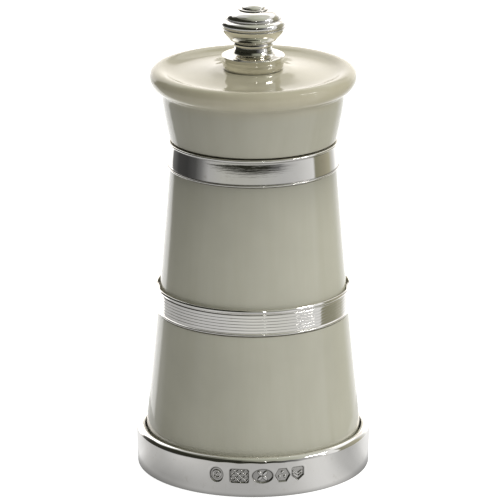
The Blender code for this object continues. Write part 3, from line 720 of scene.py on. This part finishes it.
def screw(name, node, xy, head_top, head_h, head_r, tip, turn, body):
    z0 = head_top - head_h
    loop = [(0, z0)] + [(head_r * math.sin(t), z0 + 0.32 * head_h * (1 - math.cos(t)) / (1 - math.cos(1.35)) * 1.0) for t in (0.3, 0.6, 0.9, 1.15, 1.35)]
    loop += rounded([(head_r, z0 + 0.45 * head_h), (head_r, head_top, 0.12), (0.9, head_top), (0.9, head_top + 0.3)], 3, closed=False)
    loop.append((0.9, tip - 0.9))
    loop.append((0, tip))
    ob = lathe(name, loop, STEEL, 48, None, (), None, xy=(xy[0] * MM, xy[1] * MM))
    a = math.radians(turn)
    c = math.cos(a), math.sin(a)
    pts = []
    for z in (z0 - 0.5, z0 + 0.34):
        ring = []
        for u, v in ((-3, -0.26), (3, -0.26), (3, 0.26), (-3, 0.26)):
            ring.append((xy[0] + u * c[0] - v * c[1], xy[1] + u * c[1] + v * c[0], z))
        pts.append(ring)
    k = loft(name + "_slot", pts, STEEL)
    cutter(k)
    md = ob.modifiers.new("slot", "BOOLEAN")
    md.operation, md.solver, md.object = "DIFFERENCE", "EXACT", k
    DRILLS.append((ob, md, k))
    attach(ob, body)
    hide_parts(node)
    return ob


# ==================================================================== spindle
def square_washer(name, node, outer, z0, z1, mat, body, slot="steel"):
    n = 96
    h, cr = 2.68, 3.4
    e = 0.08
    rings = [square_section(h, cr, n, z1 - e), square_section(h, cr, n, z0 + e), square_section(h + e, cr + e, n, z0),
             circle(outer - e, n, z0), circle(outer, n, z0 + e), circle(outer, n, z1 - e), circle(outer - e, n, z1),
             square_section(h + e, cr + e, n, z1)]
    return loft(name, rings, mat, closed=True, body=body, stands_for=[node], slot=slot, sharp=30)


def make_spindle():
    square_washer("thrust_washer_flat", "thrust_washer", 6.2, 25.9, 26.7, STEEL, "drive")
    square_washer("spring_seat_flat", "spring_seat", 6.2, 14.3, 15.0, STEEL, "spindle")

    # shaft
    n = 48
    sq = lambda z, d=0.0: square_section(2.38 - d, 3.1 - d, n, z)
    rings = [circle(1.9, n, 1.2), circle(2.2, n, 1.32), circle(2.3, n, 1.6), circle(2.3, n, 5.3), circle(2.22, n, 5.4), circle(1.75, n, 5.4),
             circle(1.75, n, 6.3), sq(6.3, 0.1), sq(6.42), sq(85.9), sq(86.0, 0.12)]
    pitch, major, minor = 0.794, 2.3, 1.93
    z = 86.0
    rings.append(circle(2.12, n, 86.05))
    zs = np.arange(86.25, 100.45, pitch / 8)
    for zz in zs:
        ring = []
        for k in range(n):
            a = 2 * math.pi * k / n
            ph = (zz / pitch - k / n) % 1.0
            tri = 1 - abs(2 * ph - 1)
            r = minor + (major - minor) * smooth(0.12, 0.88, tri)
            ring.append((r * math.cos(a), r * math.sin(a), zz))
        rings.append(ring)
    rings += [circle(1.93, n, 100.55), circle(1.75, n, 100.95), circle(1.6, n, 101.0)]
    loft("shaft_square", rings, STRIP, body="spindle", stands_for=["shaft"], slot="steel", sharp=30)

    # inner burr
    teeth, per = 10, 12
    n = teeth * per
    steps = 14
    top = 12.8

    def rotor_ring(z, t):
        tip = 9.55 - 0.39 * (z - 6.5)
        depth = 0.4 + 0.9 * t
        out = []
        for k in range(n):
            a = 2 * math.pi * k / n + 0.45 * t
            u = (k % per) / per
            land = smooth(0.00, 0.30, u) * (1 - smooth(0.50, 0.58, u))
            r = tip - depth * (1 - land)
            out.append((r * math.cos(a), r * math.sin(a), z))
        return out

    rings = [square_section(2.68, 3.4, n, 14.0), square_section(2.68, 3.4, n, 6.5)]
    rings += [rotor_ring(6.5 + (top - 6.5) * k / steps, k / steps) for k in range(steps + 1)]
    rings += [circle(6.0, n, 13.5, 0.45), circle(5.4, n, 14.0, 0.45)]
    loft("rotor_burr_cut", rings, BURR, closed=True, body="spindle", stands_for=["rotor_burr"], slot="burr_steel", sharp=30)

    # clip
    rows = []
    opening = math.radians(50)
    for k in range(37):
        a = math.pi / 2 + opening / 2 + (2 * math.pi - opening) * k / 36
        c, s = math.cos(a), math.sin(a)
        r0 = 2.05 + (0.55 if k in range(9, 28) and (k // 3) % 3 == 1 else 0.0)
        rows.append([(r0 * c, r0 * s, 5.65), (3.4 * c, 3.4 * s, 5.65), (3.4 * c, 3.4 * s, 6.15), (r0 * c, r0 * s, 6.15)])
    loft("shaft_clip_open", rows, SPRING, body="spindle", stands_for=["shaft_clip"], slot="steel", sharp=30)

    # spring: closed end coils, ground flat
    mean, wire = 5.0, 0.48
    za, zb = 15.3 + wire, 25.6 - wire
    turns, per_turn, sides = 6.5, 36, 12
    count = int(turns * per_turn)
    rows = []
    for i in range(count + 1):
        f = i / count
        ang = 2 * math.pi * turns * f
        e = 1.0 / turns
        g = (f - e * 0.62) / (1 - 2 * e * 0.62)
        g = max(0.0, min(1.0, g))
        z = za + (zb - za) * (0.07 * min(1, f / (e * 0.9)) + 0.86 * g + 0.07 * max(0, 1 - (1 - f) / (e * 0.9)))
        radial = Vector((math.cos(ang), math.sin(ang), 0))
        row = []
        for j in range(sides):
            b = 2 * math.pi * j / sides
            zz = z + wire * math.sin(b)
            p = radial * (mean + wire * math.cos(b))
            row.append((p.x, p.y, min(max(zz, 15.3), 25.6)))
        rows.append(row)
    sp = loft("spring_coil", rows, SPRING, sharp=60)
    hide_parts("spring")
    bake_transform(sp)


# ======================================================================= head
def head_wall():
    ctl = [(18.62, 75.75), (18.80, 76.6), (19.02, 77.7), (19.28, 79.0), (19.52, 80.3), (19.76, 81.6), (19.95, 82.9), (20.09, 84.1), (20.17, 85.1)]
    wall = [(18.45, 75.6), (18.56, 75.63)] + spline(ctl, 4)
    # the neck under the rim and the roll itself
    ctl = [(20.21, 85.65), (20.36, 86.16), (20.76, 86.55), (21.34, 86.90), (21.94, 87.34), (22.42, 87.95), (22.73, 88.62),
           (22.87, 89.24), (22.83, 89.85), (22.60, 90.52), (22.15, 91.00), (21.50, 91.26), (20.75, 91.28), (19.9, 91.06),
           (18.9, 90.66), (17.6, 90.33), (16.0, 90.22), (14.0, 90.32), (12.0, 90.52), (10.4, 90.72), (9.2, 90.95), (8.2, 91.15), (7.3, 91.25)]
    wall += spline(ctl, 5)
    return wall


def make_head():
    loop = [(12.8, 75.6)] + head_wall()
    loop += rounded([(6.6, 91.25), (6.3, 91.25, 0.1), (6.3, 90.3), (5.2, 90.3), (5.2, 83.7), (4.1, 83.7), (4.1, 71.2, 0.3), (12.8, 71.2, 0.4), (12.8, 74.0)], 4, closed=False)
    hd = lathe("head_cap_turned", loop, ACRYLIC_HEAD, 224, "head", ["head_cap"], "acrylic", sharp=42)
    drilled(hd, [(0, 8.0), (0, -8.0)], 70.5, 78.0)

    n = 96
    e = 0.1
    rings = [square_section(2.68, 3.4, n, 70.9), square_section(2.68, 3.4, n, 70.0), circle(12.0 - e, n, 70.0), circle(12.0, n, 70.0 + e),
             circle(12.0, n, 70.9 - e), circle(12.0 - e, n, 70.9)]
    pl = loft("drive_plate_flat", rings, STEEL, closed=True, body="head", stands_for=["drive_plate"], slot="steel", sharp=30)
    drilled(pl, [(0, 8.0), (0, -8.0)], 69.5, 71.4)

    loop = rounded([(3.9, 84.0, 0.15), (4.9, 84.0, 0.2), (4.9, 90.6), (6.0, 90.6), (6.0, 91.2, 0.12), (3.9, 91.2, 0.2)], 4)
    lathe("head_bush_turned", loop, NYLON, 64, "head", ["head_bush"], "nylon")
    screw("plate_screw_1_pan", "plate_screw_1", (0, 8.0), 69.7, 0.8, 1.8, 77.2, 10, "head")
    screw("plate_screw_2_pan", "plate_screw_2", (0, -8.0), 69.7, 0.8, 1.8, 77.2, 55, "head")
    screw("bar_screw_1_pan", "bar_screw_1", (15.3, 0), 2.6, 0.8, 1.9, 12.0, 25, "mill_body")
    screw("bar_screw_2_pan", "bar_screw_2", (-15.3, 0), 2.6, 0.8, 1.9, 12.0, 70, "mill_body")


def make_finial():
    loop = rounded([(3.2, 91.55), (5.9, 91.55), (6.0, 91.34), (6.52, 91.32, 0.25), (6.74, 91.75, 0.35), (6.72, 93.5, 0.5), (6.90, 94.02, 0.15), (6.98, 94.30, 0.13), (6.60, 94.48, 0.3),
                    (5.2, 94.70, 0.8), (4.55, 95.02, 0.7), (4.28, 95.62), (3.2, 95.62)], 7)
    lathe("finial_collar_turned", loop, SILVER_COLLAR, 160, "finial_seat", ["finial_collar"], "silver", reach=0.2, sharp=50)

    neck = [(4.24, 95.70), (4.14, 96.05), (4.06, 96.35), (4.05, 96.55)]
    cup = [(5.22, 98.10), (5.56, 98.46), (6.06, 98.98), (6.52, 99.50), (6.86, 99.98), (7.05, 100.38)]
    loop = [(3.65, 95.70)] + spline(neck, 4)
    loop += rounded([(4.05, 96.60), (4.32, 96.68, 0.06), (4.38, 97.05, 0.2), (4.28, 97.42, 0.12), (4.34, 97.66, 0.2), (5.12, 97.86, 0.1), (5.2, 98.04)], 6, closed=False)[1:]
    loop += spline(cup, 5)
    loop += rounded([(7.08, 100.46), (7.14, 100.66, 0.07), (6.96, 100.79, 0.09), (6.98, 100.92, 0.2), (7.10, 101.22, 0.2), (7.20, 101.32, 0.08), (7.22, 101.45)], 6, closed=False)
    rim = [(7.22, 101.6), (7.18, 101.85), (7.06, 102.12), (6.80, 102.36), (6.45, 102.52), (6.14, 102.60)]
    loop += spline(rim, 5)
    dome = [(6.02, 102.72), (6.03, 103.0), (5.95, 103.3), (5.76, 103.62), (5.46, 103.92), (5.02, 104.2), (4.45, 104.42), (3.8, 104.56), (3.36, 104.60)]
    loop += spline(dome, 5)
    loop += rounded([(3.24, 104.64), (3.24, 104.86, 0.1), (2.9, 104.96), (1.55, 104.96), (1.55, 102.0), (3.65, 102.0)], 4, closed=False)
    lathe("finial_knob_turned", loop, SILVER_BRIGHT, 176, "finial", ["finial_knob"], "silver", reach=0.2, sharp=50)

    cap = [(2.78, 105.14), (2.62, 105.36), (2.25, 105.62), (1.7, 105.82), (1.0, 105.95), (0.4, 105.995)]
    loop = [(0, 102.4), (1.2, 102.4), (1.2, 105.04), (2.7, 105.04), (2.76, 105.08)] + spline(cap, 5) + [(0, 106.0)]
    lathe("finial_button_turned", loop, SILVER_BRIGHT, 128, "finial", ["finial_button"], "silver", reach=0.12, sharp=50)

    loop = rounded([(2.8, 96.0, 0.1), (3.35, 96.0, 0.1), (3.35, 101.7), (2.8, 101.7)], 3)
    lathe("thread_insert_turned", loop, BRASS, 64, "finial", ["thread_insert"], "brass")


make_body()
make_foot()
make_middle_band()
make_upper_band()
make_under()
make_spindle()
make_head()
make_finial()

# the cuts are made now, so that no cutter stays in the scene
bpy.context.view_layer.update()
for ob, md, c in DRILLS:
    c.hide_viewport = False
dg = bpy.context.evaluated_depsgraph_get()
for ob in {d[0] for d in DRILLS} | {o for o in bpy.data.objects if o.name in ("bridge_strip", "retaining_bar_flat")}:
    me = bpy.data.meshes.new_from_object(ob.evaluated_get(dg))
    ob.modifiers.clear()
    ob.data = me
for ob, md, c in DRILLS:
    if c.name in bpy.data.objects:
        bpy.data.objects.remove(c, do_unlink=True)


# ============================================================ floor and lights
def floor():
    me = bpy.data.meshes.new("table")
    s = 4.0
    me.from_pydata([(-s, -s, 0), (s, -s, 0), (s, s, 0), (-s, s, 0)], [], [(0, 1, 2, 3)])
    m = Mat("table_paper")
    tone = m.ramp(m.noise(3.0, 3, 0.5), [(0.3, (0.80, 0.80, 0.80)), (0.7, (0.84, 0.84, 0.84))])
    m.set(Base_Color=tone, Roughness=0.9, Emission_Color=(1.0, 1.0, 1.0), Emission_Strength=0.80)
    # nothing of it from below, so that the underside can be looked at
    side = m.new("ShaderNodeNewGeometry")
    clear = m.new("ShaderNodeBsdfTransparent")
    pick = m.new("ShaderNodeMixShader")
    out = m.nt.nodes["Material Output"]
    m.link(side.outputs["Backfacing"], pick.inputs[0])
    m.link(m.b.outputs[0], pick.inputs[1])
    m.link(clear.outputs[0], pick.inputs[2])
    m.link(pick.outputs[0], out.inputs["Surface"])
    me.materials.append(m.mat)
    ob = bpy.data.objects.new("table", me)
    bpy.context.scene.collection.objects.link(ob)
    ob.visible_glossy = False
    ob.visible_diffuse = False
    ob.visible_shadow = False
    return ob


def near_sheet():
    """What the polished foot mirrors: a glowing sheet close to the mill, seen only in reflections, with painted shade:
    darker next to the foot and in front of it.
    """
    n, r = 96, 0.062
    verts = [(0, 0, -0.0004)] + [(r * math.sin(2 * math.pi * k / n), -r * math.cos(2 * math.pi * k / n), -0.0004) for k in range(n)]
    faces = [(0, 1 + k, 1 + (k + 1) % n) for k in range(n)]
    me = bpy.data.meshes.new("sheet_near")
    me.from_pydata(verts, [], faces)
    mat = bpy.data.materials.new("sheet_near")
    mat.use_nodes = True
    nt = mat.node_tree
    nt.nodes.clear()
    out = nt.nodes.new("ShaderNodeOutputMaterial")
    em = nt.nodes.new("ShaderNodeEmission")
    tc = nt.nodes.new("ShaderNodeTexCoord")
    away = nt.nodes.new("ShaderNodeVectorMath")
    away.operation = "LENGTH"
    nt.links.new(tc.outputs["Object"], away.inputs[0])

    def reach(a, b, lo, hi):
        mr = nt.nodes.new("ShaderNodeMapRange")
        for k, v in zip(("From Min", "From Max", "To Min", "To Max"), (a, b, lo, hi)):
            mr.inputs[k].default_value = v
        nt.links.new(away.outputs["Value"], mr.inputs["Value"])
        return mr.outputs["Result"]

    mix = nt.nodes.new("ShaderNodeMix")
    mix.data_type = "RGBA"
    nt.links.new(reach(0.031, 0.043, 0.0, 1.0), mix.inputs[0])
    nt.links.new(azimuth_ramp(nt, NEAR_STOPS, object_space=True), mix.inputs[6])
    nt.links.new(azimuth_ramp(nt, FAR_STOPS, object_space=True), mix.inputs[7])
    nt.links.new(mix.outputs[2], em.inputs["Color"])
    # painted shadow: the sheet glows at 0.55 of its strength right next to the foot, rising to full a few mm out
    nt.links.new(reach(0.0265, 0.0292, 0.55, 1.0), em.inputs["Strength"])
    nt.links.new(em.outputs[0], out.inputs["Surface"])
    me.materials.append(mat)
    ob = bpy.data.objects.new("sheet_near", me)
    bpy.context.scene.collection.objects.link(ob)
    ob.visible_camera = False
    ob.visible_diffuse = False
    ob.visible_shadow = False
    ob.visible_transmission = False
    return ob


def azimuth_ramp(nt, stops, object_space=False, vec=None):
    """Colour by azimuth in degrees: 0 is the camera's side (-Y), +90 is +X."""
    if vec is None:
        tc = nt.nodes.new("ShaderNodeTexCoord")
        vec = tc.outputs["Object" if object_space else "Generated"]
    sep = nt.nodes.new("ShaderNodeSeparateXYZ")
    nt.links.new(vec, sep.inputs[0])
    neg = nt.nodes.new("ShaderNodeMath")
    neg.operation = "MULTIPLY"
    neg.inputs[1].default_value = -1.0
    nt.links.new(sep.outputs["Y"], neg.inputs[0])
    at = nt.nodes.new("ShaderNodeMath")
    at.operation = "ARCTAN2"
    nt.links.new(sep.outputs["X"], at.inputs[0])
    nt.links.new(neg.outputs[0], at.inputs[1])
    mr = nt.nodes.new("ShaderNodeMapRange")
    mr.inputs["From Min"].default_value = -math.pi
    mr.inputs["From Max"].default_value = math.pi
    nt.links.new(at.outputs[0], mr.inputs["Value"])
    r = nt.nodes.new("ShaderNodeValToRGB")
    e = r.color_ramp.elements
    while len(e) < len(stops):
        e.new(0.5)
    for el, (deg, c) in zip(e, stops):
        el.position = (deg + 180) / 360
        c = (c, c, c) if isinstance(c, (int, float)) else c
        el.color = (*c, 1.0)
    nt.links.new(mr.outputs["Result"], r.inputs["Fac"])
    return r.outputs["Color"]


OLIVE = (0.222, 0.215, 0.155)
OLIVE2 = (0.38, 0.36, 0.27)
# mirrored surroundings by direction: azimuth in degrees -> radiance, for five heights
FLOOR_STOPS = [(-180, 1.7), (-139, 1.7), (-133.5, 0.46), (-100, 0.40), (-80, 0.45), (-60, 0.49), (-40, 0.52), (0, (0.62, 0.62, 0.595)),
               (40, (0.60, 0.60, 0.575)), (60, 0.62), (84, 0.67), (88.5, 0.68), (91, OLIVE), (116, (0.27, 0.265, 0.20)), (134, (0.48, 0.47, 0.40)), (145, 1.0), (180, 1.7)]
LOW_STOPS = [(-180, 1.5), (-150, 1.4), (-142.5, 1.2), (-138, 0.16), (-120, 0.050), (-100, 0.040), (-84, 0.07), (-74, 0.16), (-62, 0.38), (-40, (0.42, 0.42, 0.395)), (0, (0.42, 0.42, 0.395)),
             (40, 0.44), (60, 0.50), (84, 0.64), (89, 0.68), (92, OLIVE), (112, (0.30, 0.28, 0.21)), (124, OLIVE2), (138, 0.66), (148, 1.1), (180, 1.5)]
MID_STOPS = [(-180, (1.85, 1.77, 1.69)), (-138, (1.70, 1.64, 1.58)), (-133, 0.10), (-120, (0.032, 0.032, 0.024)), (-90, (0.024, 0.024, 0.018)), (-50, (0.022, 0.022, 0.016)), (18, (0.024, 0.024, 0.018)), (34, 0.10), (56, 0.40), (78, 0.75),
             (90, 0.85), (94, (0.26, 0.25, 0.19)), (125, (0.40, 0.38, 0.29)), (138, 0.80), (148, (1.60, 1.53, 1.47)), (180, (1.85, 1.77, 1.69))]
HALF_STOPS = [(-180, (1.30, 1.24, 1.18)), (-177, (1.60, 1.53, 1.46)), (-138, (1.70, 1.64, 1.58)), (-133, 0.10), (-120, (0.032, 0.032, 0.024)), (-90, (0.024, 0.024, 0.018)), (-50, (0.022, 0.022, 0.016)), (18, (0.024, 0.024, 0.018)), (34, 0.10), (56, 0.40), (78, 0.75),
              (90, 0.85), (94, (0.26, 0.25, 0.19)), (125, (0.40, 0.38, 0.29)), (138, 0.80), (148, (1.10, 1.05, 1.0)), (172, (0.80, 0.77, 0.73)), (178, (0.95, 0.91, 0.87)), (180, (1.30, 1.24, 1.18))]
RISE_STOPS = [(-180, (1.80, 1.75, 1.68)), (-140, 1.40), (-126, 0.90), (-112, (0.08, 0.08, 0.065)), (-100, (0.030, 0.030, 0.022)), (-14, (0.026, 0.026, 0.020)), (0, (0.24, 0.24, 0.20)), (50, (0.46, 0.47, 0.40)), (90, 0.75), (130, 1.0), (180, (1.80, 1.75, 1.68))]
UP_STOPS = [(-180, (0.48, 0.49, 0.42)), (-150, 0.60), (-125, 0.60), (-100, (0.20, 0.20, 0.17)), (-60, (0.14, 0.14, 0.115)), (-20, (0.28, 0.285, 0.235)), (0, (0.34, 0.35, 0.285)), (50, (0.43, 0.445, 0.365)), (90, (0.56, 0.57, 0.50)), (130, (0.60, 0.60, 0.55)), (180, (0.48, 0.49, 0.42))]
TOP_STOPS = [(-180, (0.44, 0.45, 0.38)), (-90, (0.42, 0.43, 0.36)), (0, (0.40, 0.41, 0.34)), (90, (0.52, 0.53, 0.46)), (180, (0.44, 0.45, 0.38))]


def beside_foot(phi, d=8.0, r=26.2):
    """Where the wall at azimuth phi sees the sheet, as an azimuth about the mill's axis."""
    a = math.radians(phi)
    return math.degrees(math.atan2(r * math.sin(a) + d * math.sin(2 * a), r * math.cos(a) + d * math.cos(2 * a)))


# what the foot's wall shows, by its azimuth: low on the wall and high on it. These are the sheet's painted shade,
# darker in front of the mill where its shadow would lie
FOOT_LOOK = [(-80, 0.82), (-70, 0.52), (-60, 0.37), (-50, 0.31), (-40, 0.32), (-30, 0.38), (-20, 0.405), (-10, 0.385), (0, 0.39), (10, 0.43),
             (20, 0.52), (30, 0.64), (38, 0.68), (46, 0.60), (56, 0.45), (64, 0.48), (72, 0.60), (80, 0.82)]
FOOT_HIGH = [(-80, 0.80), (-70, 0.54), (-60, 0.47), (-50, 0.48), (-40, 0.56), (-30, 0.54), (-20, 0.49), (-10, 0.43), (0, 0.42), (10, 0.45),
             (20, 0.53), (30, 0.67), (38, 0.69), (46, 0.50), (56, 0.42), (64, 0.52), (72, 0.75), (80, 0.92)]
NEAR_STOPS = [(-180, 1.0), (-150, 0.95)] + [(beside_foot(p), v) for p, v in FOOT_LOOK] + [(150, 0.95), (180, 1.0)]
FAR_STOPS = [(-180, 1.0), (-158, 0.95)] + [(beside_foot(p, 18.0), v) for p, v in FOOT_HIGH] + [(158, 0.95), (180, 1.0)]


def world():
    w = bpy.data.worlds.new("studio")
    bpy.context.scene.world = w
    w.use_nodes = True
    nt = w.node_tree
    nt.nodes.clear()
    out = nt.nodes.new("ShaderNodeOutputWorld")
    bg = nt.nodes.new("ShaderNodeBackground")
    tc = nt.nodes.new("ShaderNodeTexCoord")
    vec = tc.outputs["Generated"]
    sep = nt.nodes.new("ShaderNodeSeparateXYZ")
    nt.links.new(vec, sep.inputs[0])

    def step(a, b):
        mr = nt.nodes.new("ShaderNodeMapRange")
        mr.interpolation_type = "SMOOTHSTEP"
        mr.inputs["From Min"].default_value = math.sin(math.radians(a))
        mr.inputs["From Max"].default_value = math.sin(math.radians(b))
        nt.links.new(sep.outputs["Z"], mr.inputs["Value"])
        return mr.outputs["Result"]

    def mix(f, a, b):
        m = nt.nodes.new("ShaderNodeMix")
        m.data_type = "RGBA"
        nt.links.new(f, m.inputs[0])
        nt.links.new(a, m.inputs[6])
        nt.links.new(b, m.inputs[7])
        return m.outputs[2]

    c = azimuth_ramp(nt, FLOOR_STOPS, vec=vec)
    for (a, b), stops in (((-13.6, -12.3), LOW_STOPS), ((-4.7, -3.9), MID_STOPS), ((20, 25), HALF_STOPS), ((30, 33), RISE_STOPS), ((47, 51), UP_STOPS), ((70, 77), TOP_STOPS)):
        c = mix(step(a, b), c, azimuth_ramp(nt, stops, vec=vec))
    nt.links.new(c, bg.inputs["Color"])
    bg.inputs["Strength"].default_value = 1.0
    # the backdrop itself is plain and pale
    pale = nt.nodes.new("ShaderNodeBackground")
    pale.inputs["Color"].default_value = (0.93, 0.93, 0.93, 1.0)
    path = nt.nodes.new("ShaderNodeLightPath")
    pick = nt.nodes.new("ShaderNodeMixShader")
    nt.links.new(path.outputs["Is Camera Ray"], pick.inputs[0])
    nt.links.new(bg.outputs[0], pick.inputs[1])
    nt.links.new(pale.outputs[0], pick.inputs[2])
    nt.links.new(pick.outputs[0], out.inputs["Surface"])


def softbox(name, loc, target, size, power, colour=(1, 1, 1), glossy=True):
    ld = bpy.data.lights.new(name, "AREA")
    ld.shape = "RECTANGLE"
    ld.size, ld.size_y = size
    ld.energy = power
    ld.color = colour
    ob = bpy.data.objects.new(name, ld)
    ob.location = loc
    ob.rotation_euler = (Vector(target) - Vector(loc)).to_track_quat("-Z", "Y").to_euler()
    bpy.context.scene.collection.objects.link(ob)
    ob.visible_camera = False
    ob.visible_glossy = glossy
    return ob


floor()
near_sheet()
world()
def toward(azimuth, elevation, distance, z=0.09):
    a, e = math.radians(azimuth), math.radians(elevation)
    return (distance * math.sin(a) * math.cos(e), -distance * math.cos(a) * math.cos(e), z + distance * math.sin(e))


softbox("softbox_strip", toward(70, 29, 1.0), (0, 0, 0.09), (0.42, 0.055), 1.2, (1.0, 0.99, 0.97))
softbox("softbox_small", toward(14, 30, 1.0), (0, 0, 0.09), (0.055, 0.045), 0.105, (1.0, 0.99, 0.97))
softbox("softbox_slit", toward(72, 14, 1.0), (0, 0, 0.09), (0.020, 0.58), 0.19, (1.0, 0.99, 0.97))
softbox("softbox_fill", toward(36, 15, 1.1), (0, 0, 0.06), (0.7, 0.5), 1.80, (1.0, 0.997, 0.985), glossy=False)
softbox("softbox_top", toward(0, 68, 1.0), (0, 0, 0.09), (0.5, 0.4), 0.80, (1.0, 1.0, 1.0), glossy=False)
softbox("softbox_left", toward(-60, 10, 1.1), (0, 0, 0.06), (0.6, 0.5), 0.40, (1.0, 1.0, 1.0), glossy=False)
softbox("bounce_left", (-0.095, -0.055, -0.015), (0, 0, 0.02), (0.08, 0.05), 0.006, (1.0, 1.0, 1.0), glossy=False)

cam = bpy.data.cameras.new("camera")
cam.sensor_width = 36.0
cam.sensor_fit = "HORIZONTAL"
cam.lens = 4388.6 * 36.0 / 500.0
cam.shift_x = -3.2 / 500.0
cam.clip_start = 0.05
cam.clip_end = 20.0
cob = bpy.data.objects.new("camera", cam)
cob.location = (0.0, -0.939, 0.3328)
cob.rotation_euler = (math.radians(73.20), 0.0, 0.0)
bpy.context.scene.collection.objects.link(cob)
bpy.context.scene.camera = cob

vs = bpy.context.scene.view_settings
vs.view_transform = "Standard"
vs.look = "None"
vs.exposure = 0.0
vs.gamma = 1.0
